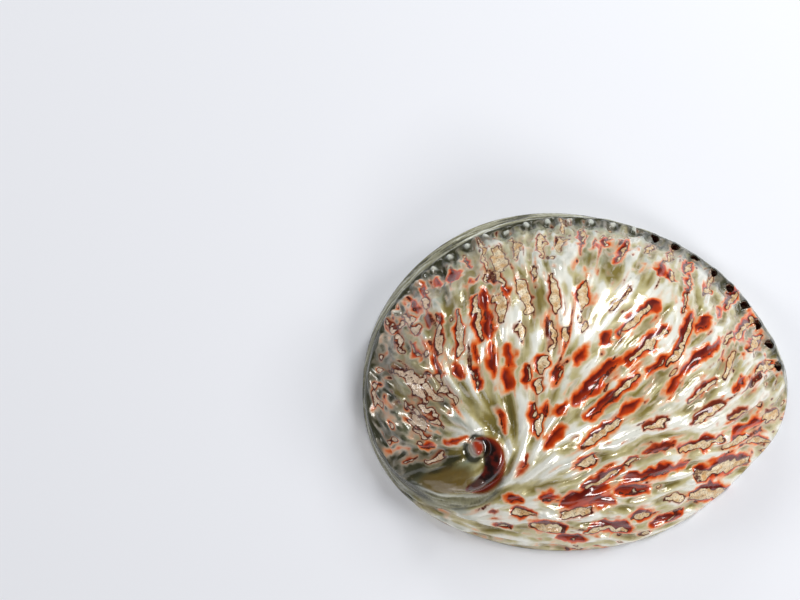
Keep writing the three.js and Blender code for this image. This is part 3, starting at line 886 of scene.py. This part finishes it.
def inner_points():
    """The inside with its lip: points, which are gone, pore rings and square coordinates."""
    across, along, way, angle = disc_grid(INNER_CELLS)
    share = plan_share(np.mod(angle, TURN), way)
    x, y = from_crown(angle, share * (crown_reach(angle) - RIM_WIDTH))
    x, y, gone, rings = clear_pores(x, y)
    radius, age, edge = polar(x, y)
    from_rim = np.maximum(edge - RIM_WIDTH - radius, 0)
    width = SHELF_WIDTH * step(age, *SHELF_START) * (1 - step(age, *SHELF_END))
    ceiling = SHELF_RISE * np.minimum(1, from_rim / (width + 0.5))
    ceiling += SHELF_SLOPE * np.maximum(0, from_rim - width)
    z = np.minimum(dome_height(x, y, WALL), ceiling)
    z[way > 1 - 1e-9] = 0
    for _ in range(3):
        z[1:-1, 1:-1] = (z[1:-1, 1:-1] * 2 + z[:-2, 1:-1] + z[2:, 1:-1] + z[1:-1, :-2] + z[1:-1, 2:]) / 6
    return np.stack([x, y, z], axis=-1), gone, rings, (across, along)


def page_places(square, page):
    """UV places of a grid's points in a box of the page."""
    across, along = square
    left, width, bottom, height = page
    return np.stack([
        (along.ravel() + 1) / 2 * width + left,
        (across.ravel() + 1) / 2 * height + bottom,
    ], axis=1)


def add_page(mesh, places):
    """The UV map OFBake, laid out as the page places give."""
    loop_points = np.zeros(len(mesh.loops), int)
    mesh.loops.foreach_get("vertex_index", loop_points)
    layer = mesh.uv_layers.new(name="OFBake")
    layer.data.foreach_set("uv", places[loop_points].astype(np.float32).ravel())


def add_field(mesh, name, value):
    """One number per point of the outside, 0 on all other points."""
    full = np.zeros(len(mesh.vertices), np.float32)
    full[:value.size] = value.ravel()
    mesh.attributes.new(name, "FLOAT", "POINT").data.foreach_set("value", full)


def remove_loose(mesh):
    """Deletes the points that no face uses."""
    work = bmesh.new()
    work.from_mesh(mesh)
    bmesh.ops.delete(work, geom=[v for v in work.verts if not v.link_faces], context="VERTS")
    work.to_mesh(mesh)
    work.free()


def shell_object(fields):
    outer, outer_gone, outer_rings, values, outer_square = outer_points(fields)
    inner, inner_gone, inner_rings, inner_square = inner_points()
    count = outer.shape[0] * outer.shape[1]
    points = np.concatenate([outer.reshape(-1, 3), inner.reshape(-1, 3)])
    places = np.concatenate([page_places(outer_square, OUTER_PAGE), page_places(inner_square, INNER_PAGE)])
    faces = grid_faces(OUTER_CELLS, outer_gone, 0, False)
    faces += rim_faces(border(OUTER_CELLS, 0), border(INNER_CELLS, count))
    for (top, top_turn), (bottom, bottom_turn) in zip(outer_rings, inner_rings):
        mouth = points[top]
        middle = mouth.mean(axis=0)
        throat = len(points) + np.arange(len(top))
        points = np.concatenate([points, middle + (mouth - middle) * THROAT_SHARE - (0, 0, THROAT_DEPTH)])
        faces += join_rings(top, top_turn, throat, top_turn)
        faces += join_rings(throat, top_turn, bottom + count, bottom_turn)
    inside_start = len(faces)
    faces += grid_faces(INNER_CELLS, inner_gone, count, True)

    mesh = bpy.data.meshes.new("shell_skin")
    mesh.from_pydata((points * UNIT).tolist(), [], faces)
    add_page(mesh, np.concatenate([places, np.zeros((len(points) - len(places), 2))]))
    mesh.polygons.foreach_set("material_index", (np.arange(len(faces)) >= inside_start).astype(np.int32))
    mesh.polygons.foreach_set("use_smooth", np.ones(len(faces), bool))
    for name, value in values.items():
        add_field(mesh, name, value)
    mesh.update()
    remove_loose(mesh)
    skin = bpy.data.objects.new("shell_skin", mesh)
    bpy.context.scene.collection.objects.link(skin)
    return skin


# ---- materials ----

class Shader:
    """Short names for building one node material."""

    def __init__(self, name):
        self.material = bpy.data.materials.new(name)
        self.material.use_nodes = True
        self.tree = self.material.node_tree
        self.surface = self.tree.nodes["Principled BSDF"]

    def node(self, kind, inputs=(), output=0, **settings):
        made = self.tree.nodes.new(kind)
        for name, value in settings.items():
            setattr(made, name, value)
        for socket, value in dict(inputs).items():
            self.plug(made.inputs[socket], value)
        return made.outputs[output]

    def plug(self, socket, value):
        if isinstance(value, bpy.types.NodeSocket):
            self.tree.links.new(value, socket)
        else:
            socket.default_value = value

    def set(self, **values):
        """Values that are the same all over, straight on the shader; names have _ for each space."""
        for name, value in values.items():
            self.surface.inputs[name.replace("_", " ")].default_value = value

    def math(self, operation, a, b=0.5):
        return self.node("ShaderNodeMath", {0: a, 1: b}, operation=operation)

    def plus(self, a, b):
        return self.math("ADD", a, b)

    def times(self, a, b):
        return self.math("MULTIPLY", a, b)

    def field(self, name):
        return self.node("ShaderNodeAttribute", attribute_name=name, output=2)

    def ramp(self, value, low, high, start=0.0, end=1.0):
        inputs = {"Value": value, "From Min": low, "From Max": high, "To Min": start, "To Max": end}
        return self.node("ShaderNodeMapRange", inputs, interpolation_type="SMOOTHSTEP")

    def mix(self, share, a, b):
        inputs = {0: share, 6: a, 7: b}
        return self.node("ShaderNodeMix", inputs, output=2, data_type="RGBA")

    def noise(self, scale, detail=3.0, roughness=0.5):
        place = self.node("ShaderNodeTexCoord", output=3)
        inputs = {"Vector": place, "Scale": scale, "Detail": detail, "Roughness": roughness}
        return self.node("ShaderNodeTexNoise", inputs)


def colour(red, green, blue):
    """A colour as the screen shows it, 0 to 255, turned into the linear values that light uses."""
    parts = [c / 255 for c in (red, green, blue)]
    linear = [c / 12.92 if c <= 0.04045 else ((c + 0.055) / 1.055) ** 2.4 for c in parts]
    return (*linear, 1.0)


WHITE_NACRE = colour(240, 238, 226)
STRAW_NACRE = colour(194, 182, 132)
OLIVE_NACRE = colour(136, 120, 58)
GREEN_NACRE = colour(112, 128, 108)
ROSE_NACRE = colour(232, 178, 160)
PAINTED_GLINT = colour(248, 246, 238)
DARK_SCRATCH = colour(104, 92, 56)
STRIPE_DARK = colour(74, 72, 50)
STRIPE_MIDDLE = colour(156, 152, 122)
STRIPE_PALE = colour(220, 220, 204)
DARK_GLASS_AND_SHADE = colour(48, 48, 30)
AMBER = colour(118, 92, 38)
PLUG_HIGHLIGHT = colour(208, 210, 198)
MILK = colour(240, 226, 204)
ORANGE_EDGE = colour(242, 150, 78)
RED = colour(210, 66, 2)
SHADED_SIDE_RED = colour(100, 14, 0)
PINK_EDGE = colour(204, 146, 104)
BROWN = colour(112, 44, 20)
CRUST_PALE = colour(236, 218, 184)
CRUST_TAN = colour(212, 168, 114)
CRUST_PINK = colour(222, 198, 178)
CRUST_PIT = colour(84, 66, 42)
CRUST_CRACK = colour(120, 84, 50)
CRUST_OUTLINE = colour(80, 26, 10)
COIL_BLACK = colour(26, 6, 4)
COIL_BROWN = colour(96, 22, 8)
COIL_RED = colour(128, 36, 8)
COIL_GOLD = colour(150, 92, 34)
LENS_BROWN = colour(92, 66, 58)
HEART_GREY = colour(166, 152, 140)
HEART_RED = colour(160, 44, 10)
HOLLOW_GREEN = colour(214, 222, 212)
HOLLOW_ROSE = colour(222, 200, 204)
HOLLOW_TEAL = colour(176, 206, 194)
CLOTH = colour(236, 236, 240)


def nacre_colour(s, wobble):
    """White to olive along the folds, with painted highlight on their crests and painted shade in their
    hollows, sea green and rose patches, fine dark scratches and painted glints.
    """
    tone_and_fold_light = s.plus(s.field("tone_and_fold_light"), wobble)
    nacre = s.mix(s.ramp(tone_and_fold_light, -0.2, 0.36), WHITE_NACRE, STRAW_NACRE)
    nacre = s.mix(s.ramp(tone_and_fold_light, 0.30, 0.95), nacre, OLIVE_NACRE)
    cool = s.ramp(s.plus(s.field("cool"), wobble), 0.15, 0.95, 0.0, 0.7)
    nacre = s.mix(cool, nacre, GREEN_NACRE)
    nacre = s.mix(s.ramp(s.field("rose"), 0.1, 1.2, 0.0, 0.7), nacre, ROSE_NACRE)
    # Painted glints: near white on the fine ridges.
    pale = s.ramp(s.plus(s.field("fine"), wobble), 1.1, 1.8)
    nacre = s.mix(s.times(pale, 0.3), nacre, PAINTED_GLINT)
    return s.mix(s.ramp(s.field("fine"), -1.3, -2.3, 0.0, 0.35), nacre, DARK_SCRATCH)


def beside_row_colour(s, nacre):
    """Striped band, dark glass by the pores with painted shade, amber floor of the coil, and painted
    highlights on the pore plugs.
    """
    stripe = s.plus(s.field("lines"), s.times(s.field("fine"), 0.5))
    strip = s.mix(s.ramp(stripe, -1.6, 0.2), STRIPE_DARK, STRIPE_MIDDLE)
    strip = s.mix(s.ramp(stripe, 0.1, 1.8), strip, STRIPE_PALE)
    nacre = s.mix(s.field("strip"), nacre, strip)
    # Dark glass, and painted shade in the fold hollows, the coil tip's groove and the plugs' grooves.
    nacre = s.mix(s.ramp(s.field("shade"), 0.1, 1.05, 0.0, 0.93), nacre, DARK_GLASS_AND_SHADE)
    nacre = s.mix(s.ramp(s.field("amber"), 0.15, 0.8, 0.0, 0.75), nacre, AMBER)
    # Painted highlights on the sealed pores' plugs.
    return s.mix(s.field("plug_highlight"), nacre, PLUG_HIGHLIGHT)


def mark_colour(s, nacre, inside):
    """Marks: a milky rim, an orange edge and a red middle, or pink and brown where less red; the middle is
    painted deep red up its shaded side as painted shade.
    """
    redness = s.field("red")
    milky = s.times(s.ramp(inside, -1.4, -0.6), s.ramp(redness, 0.3, 0.8, 0.2, 0.8))
    nacre = s.mix(s.times(milky, 0.8), nacre, MILK)
    halo = s.mix(s.ramp(inside, -0.7, 0.5), ORANGE_EDGE, RED)
    # Painted shade: deep red up the mark's shaded side.
    painted_shade = s.times(s.ramp(inside, 0.2, 1.0), s.ramp(s.field("lee"), -0.6, 0.4, 0.4, 1.0))
    halo = s.mix(painted_shade, halo, SHADED_SIDE_RED)
    dull = s.mix(s.ramp(inside, -0.5, 0.8), PINK_EDGE, BROWN)
    halo = s.mix(s.ramp(redness, 0.25, 0.8), dull, halo)
    spread = s.ramp(s.plus(inside, s.ramp(redness, 0.2, 1.0, -0.45, 0.3)), -0.95, 0.25)
    return s.mix(spread, nacre, halo)


def crust_colour(s):
    """Rough tan crust with pits and cracks, pinker at the left."""
    tan = s.mix(s.ramp(s.noise(420), 0.35, 0.65), CRUST_PALE, CRUST_TAN)
    tan = s.mix(s.times(s.field("left"), 0.75), tan, CRUST_PINK)
    pits = s.ramp(s.noise(1300, 3, 0.7), 0.57, 0.66)
    tan = s.mix(s.times(pits, 0.75), tan, CRUST_PIT)
    cracks = s.ramp(s.math("ABSOLUTE", s.math("SUBTRACT", s.noise(380, 4, 0.65), 0.5)), 0.018, 0.006)
    return s.mix(s.times(cracks, 0.6), tan, CRUST_CRACK)


def outlined_crust(s, body, depth):
    """The crust laid over the body, with a dark outline that breaks up away from the left."""
    line = s.times(s.ramp(depth, -0.32, -0.14), s.ramp(depth, 0.2, 0.02))
    body = s.mix(s.ramp(depth, -0.05, 0.1), body, crust_colour(s))
    broken = s.math("MAXIMUM", s.ramp(s.noise(500, 2), 0.3, 0.5, 0.5, 1.0), s.field("left"))
    return s.mix(s.times(line, broken), body, CRUST_OUTLINE)


def coil_colour(s, body, soft):
    """The coil's wall, black to red to gold outwards, its brown blister, and its grey and red tip."""
    across = s.field("across")
    dark = s.mix(s.ramp(soft, 0.40, 0.62), COIL_BLACK, COIL_BROWN)
    dark = s.mix(s.ramp(across, 0.2, 0.75), dark, COIL_RED)
    dark = s.mix(s.ramp(across, 0.72, 0.95), dark, COIL_GOLD)
    dark = s.mix(s.ramp(s.field("ring"), 2.5, 1.9, 0.0, 0.7), dark, LENS_BROWN)
    body = s.mix(s.field("coil"), body, dark)
    ember = s.times(s.field("ember"), s.ramp(soft, 0.30, 0.5))
    return s.mix(s.field("heart"), body, s.mix(ember, HEART_GREY, HEART_RED))


def outside_material():
    s = Shader("abalone_outside")
    grit = s.noise(900, 4, 0.6)
    soft = s.noise(260)
    rough = s.noise(2200)
    wobble = s.times(s.math("SUBTRACT", soft, 0.5), 0.35)
    fray = s.times(s.math("SUBTRACT", grit, 0.5), 0.5)
    inside = s.plus(s.field("inside"), s.times(fray, 0.7))
    crust_depth = s.plus(s.field("crust"), fray)
    is_crust = s.ramp(crust_depth, -0.05, 0.15)

    body = beside_row_colour(s, nacre_colour(s, wobble))
    body = mark_colour(s, body, inside)
    body = outlined_crust(s, body, crust_depth)
    body = coil_colour(s, body, soft)
    s.plug(s.surface.inputs["Base Color"], body)
    s.plug(s.surface.inputs["Roughness"], s.plus(s.times(is_crust, 0.4), 0.26))
    s.plug(s.surface.inputs["Metallic"], s.times(s.ramp(inside, 0.2, -0.8), 0.10))
    clear = s.times(s.ramp(is_crust, 0.0, 1.0, 1.0, 0.35), s.field("clear"))
    s.plug(s.surface.inputs["Coat Weight"], clear)
    s.set(Specular_IOR_Level=0.25, Coat_Roughness=0.08, Coat_IOR=1.5)

    height = s.plus(s.times(rough, 0.25), s.times(grit, 0.8))
    height = s.times(height, s.ramp(is_crust, 0.0, 1.0, 0.12, 1.0))
    bumps = s.node("ShaderNodeBump", {"Height": height, "Strength": 0.6, "Distance": 0.0004})
    s.plug(s.surface.inputs["Normal"], bumps)
    return s.material


def inside_material():
    s = Shader("abalone_inside")
    body = s.mix(s.ramp(s.noise(60), 0.35, 0.65), HOLLOW_GREEN, HOLLOW_ROSE)
    body = s.mix(s.ramp(s.noise(34, 2), 0.5, 0.7, 0.0, 0.6), body, HOLLOW_TEAL)
    s.plug(s.surface.inputs["Base Color"], body)
    s.set(Roughness=0.22, Metallic=0.25, Coat_Weight=0.8, Coat_Roughness=0.08)
    return s.material


# ---- stage: metres, watts ----

FLOOR_RADIUS = 0.9
FLOOR_CORNERS = 96
FLOOR_GAP = 0.0002  # keeps the floor just below the rim
WHITE = (1, 1, 1)
COOL_WHITE = (0.93, 0.97, 1.0)
# name, place from the shell's middle, width, depth, power, tint
LIGHTS = [
    ("window", (0.34, 0.38, 0.62), 0.12, 0.55, 3.8, COOL_WHITE),
    ("left", (-0.95, 0.25, 0.5), 0.24, 0.24, 3.3, WHITE),
    ("right", (0.95, 0.0, 0.65), 0.3, 0.3, 3.4, WHITE),
    ("behind", (-0.25, 1.0, 0.5), 0.25, 0.2, 2.0, WHITE),
    ("front", (0.40, -0.95, 0.6), 0.35, 0.3, 6.4, WHITE),
]
SKY_COLOUR = (0.93, 0.96, 1.0, 1.0)
SKY_LIGHT = 0.09
SKY_SEEN = 0.85  # a pale background where the camera sees past the floor
CAMERA_PLACE = Vector((-61.5, -116.7, 375.5))  # millimetres
CAMERA_TILT = math.radians(69)  # below level


def floor():
    mesh = bpy.data.meshes.new("floor")
    turns = np.arange(FLOOR_CORNERS) * TURN / FLOOR_CORNERS
    corners = [(FLOOR_RADIUS * math.cos(a), FLOOR_RADIUS * math.sin(a), -FLOOR_GAP) for a in turns]
    mesh.from_pydata(corners, [], [tuple(range(FLOOR_CORNERS))])
    plane = bpy.data.objects.new("floor", mesh)
    bpy.context.scene.collection.objects.link(plane)
    s = Shader("floor_cloth")
    s.set(Base_Color=CLOTH, Roughness=0.9, Specular_IOR_Level=0.1)
    mesh.materials.append(s.material)


def light(name, place, target, width, depth, power, tint):
    lamp = bpy.data.lights.new(name, "AREA")
    lamp.shape = "RECTANGLE"
    lamp.size, lamp.size_y = width, depth
    lamp.energy = power
    lamp.color = tint
    holder = bpy.data.objects.new(name, lamp)
    holder.location = place
    holder.rotation_euler = (target - place).to_track_quat("-Z", "Y").to_euler()
    bpy.context.scene.collection.objects.link(holder)


def sky():
    """Weak light from all round, which the camera sees as a pale background."""
    world = bpy.data.worlds.new("studio")
    world.use_nodes = True
    nodes, links = world.node_tree.nodes, world.node_tree.links
    seen = nodes.new("ShaderNodeLightPath").outputs["Is Camera Ray"]
    strength = nodes.new("ShaderNodeMapRange")
    strength.inputs["To Min"].default_value = SKY_LIGHT
    strength.inputs["To Max"].default_value = SKY_SEEN
    links.new(seen, strength.inputs["Value"])
    background = nodes["Background"]
    background.inputs["Color"].default_value = SKY_COLOUR
    links.new(strength.outputs["Result"], background.inputs["Strength"])
    bpy.context.scene.world = world


def camera():
    """Looks down from the front, a little left of the shell."""
    eye = bpy.data.cameras.new("camera")
    eye.lens, eye.sensor_width = 50, 36
    eye.clip_start, eye.clip_end = 0.01, 10
    holder = bpy.data.objects.new("camera", eye)
    holder.location = CAMERA_PLACE * UNIT
    ahead = Vector((0, math.cos(CAMERA_TILT), -math.sin(CAMERA_TILT)))
    holder.rotation_euler = ahead.to_track_quat("-Z", "Y").to_euler()
    bpy.context.scene.collection.objects.link(holder)
    bpy.context.scene.camera = holder


skin = shell_object(surface_fields())
skin.data.materials.append(outside_material())
skin.data.materials.append(inside_material())
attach(skin, "root")
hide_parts(CAD_NODE)

floor()
sky()
centre = (CAD_LOW + CAD_HIGH) / 2
for name, offset, width, depth, power, tint in LIGHTS:
    light(name, centre + Vector(offset), centre, width, depth, power, tint)
camera()
bpy.context.scene.view_settings.view_transform = "Standard"
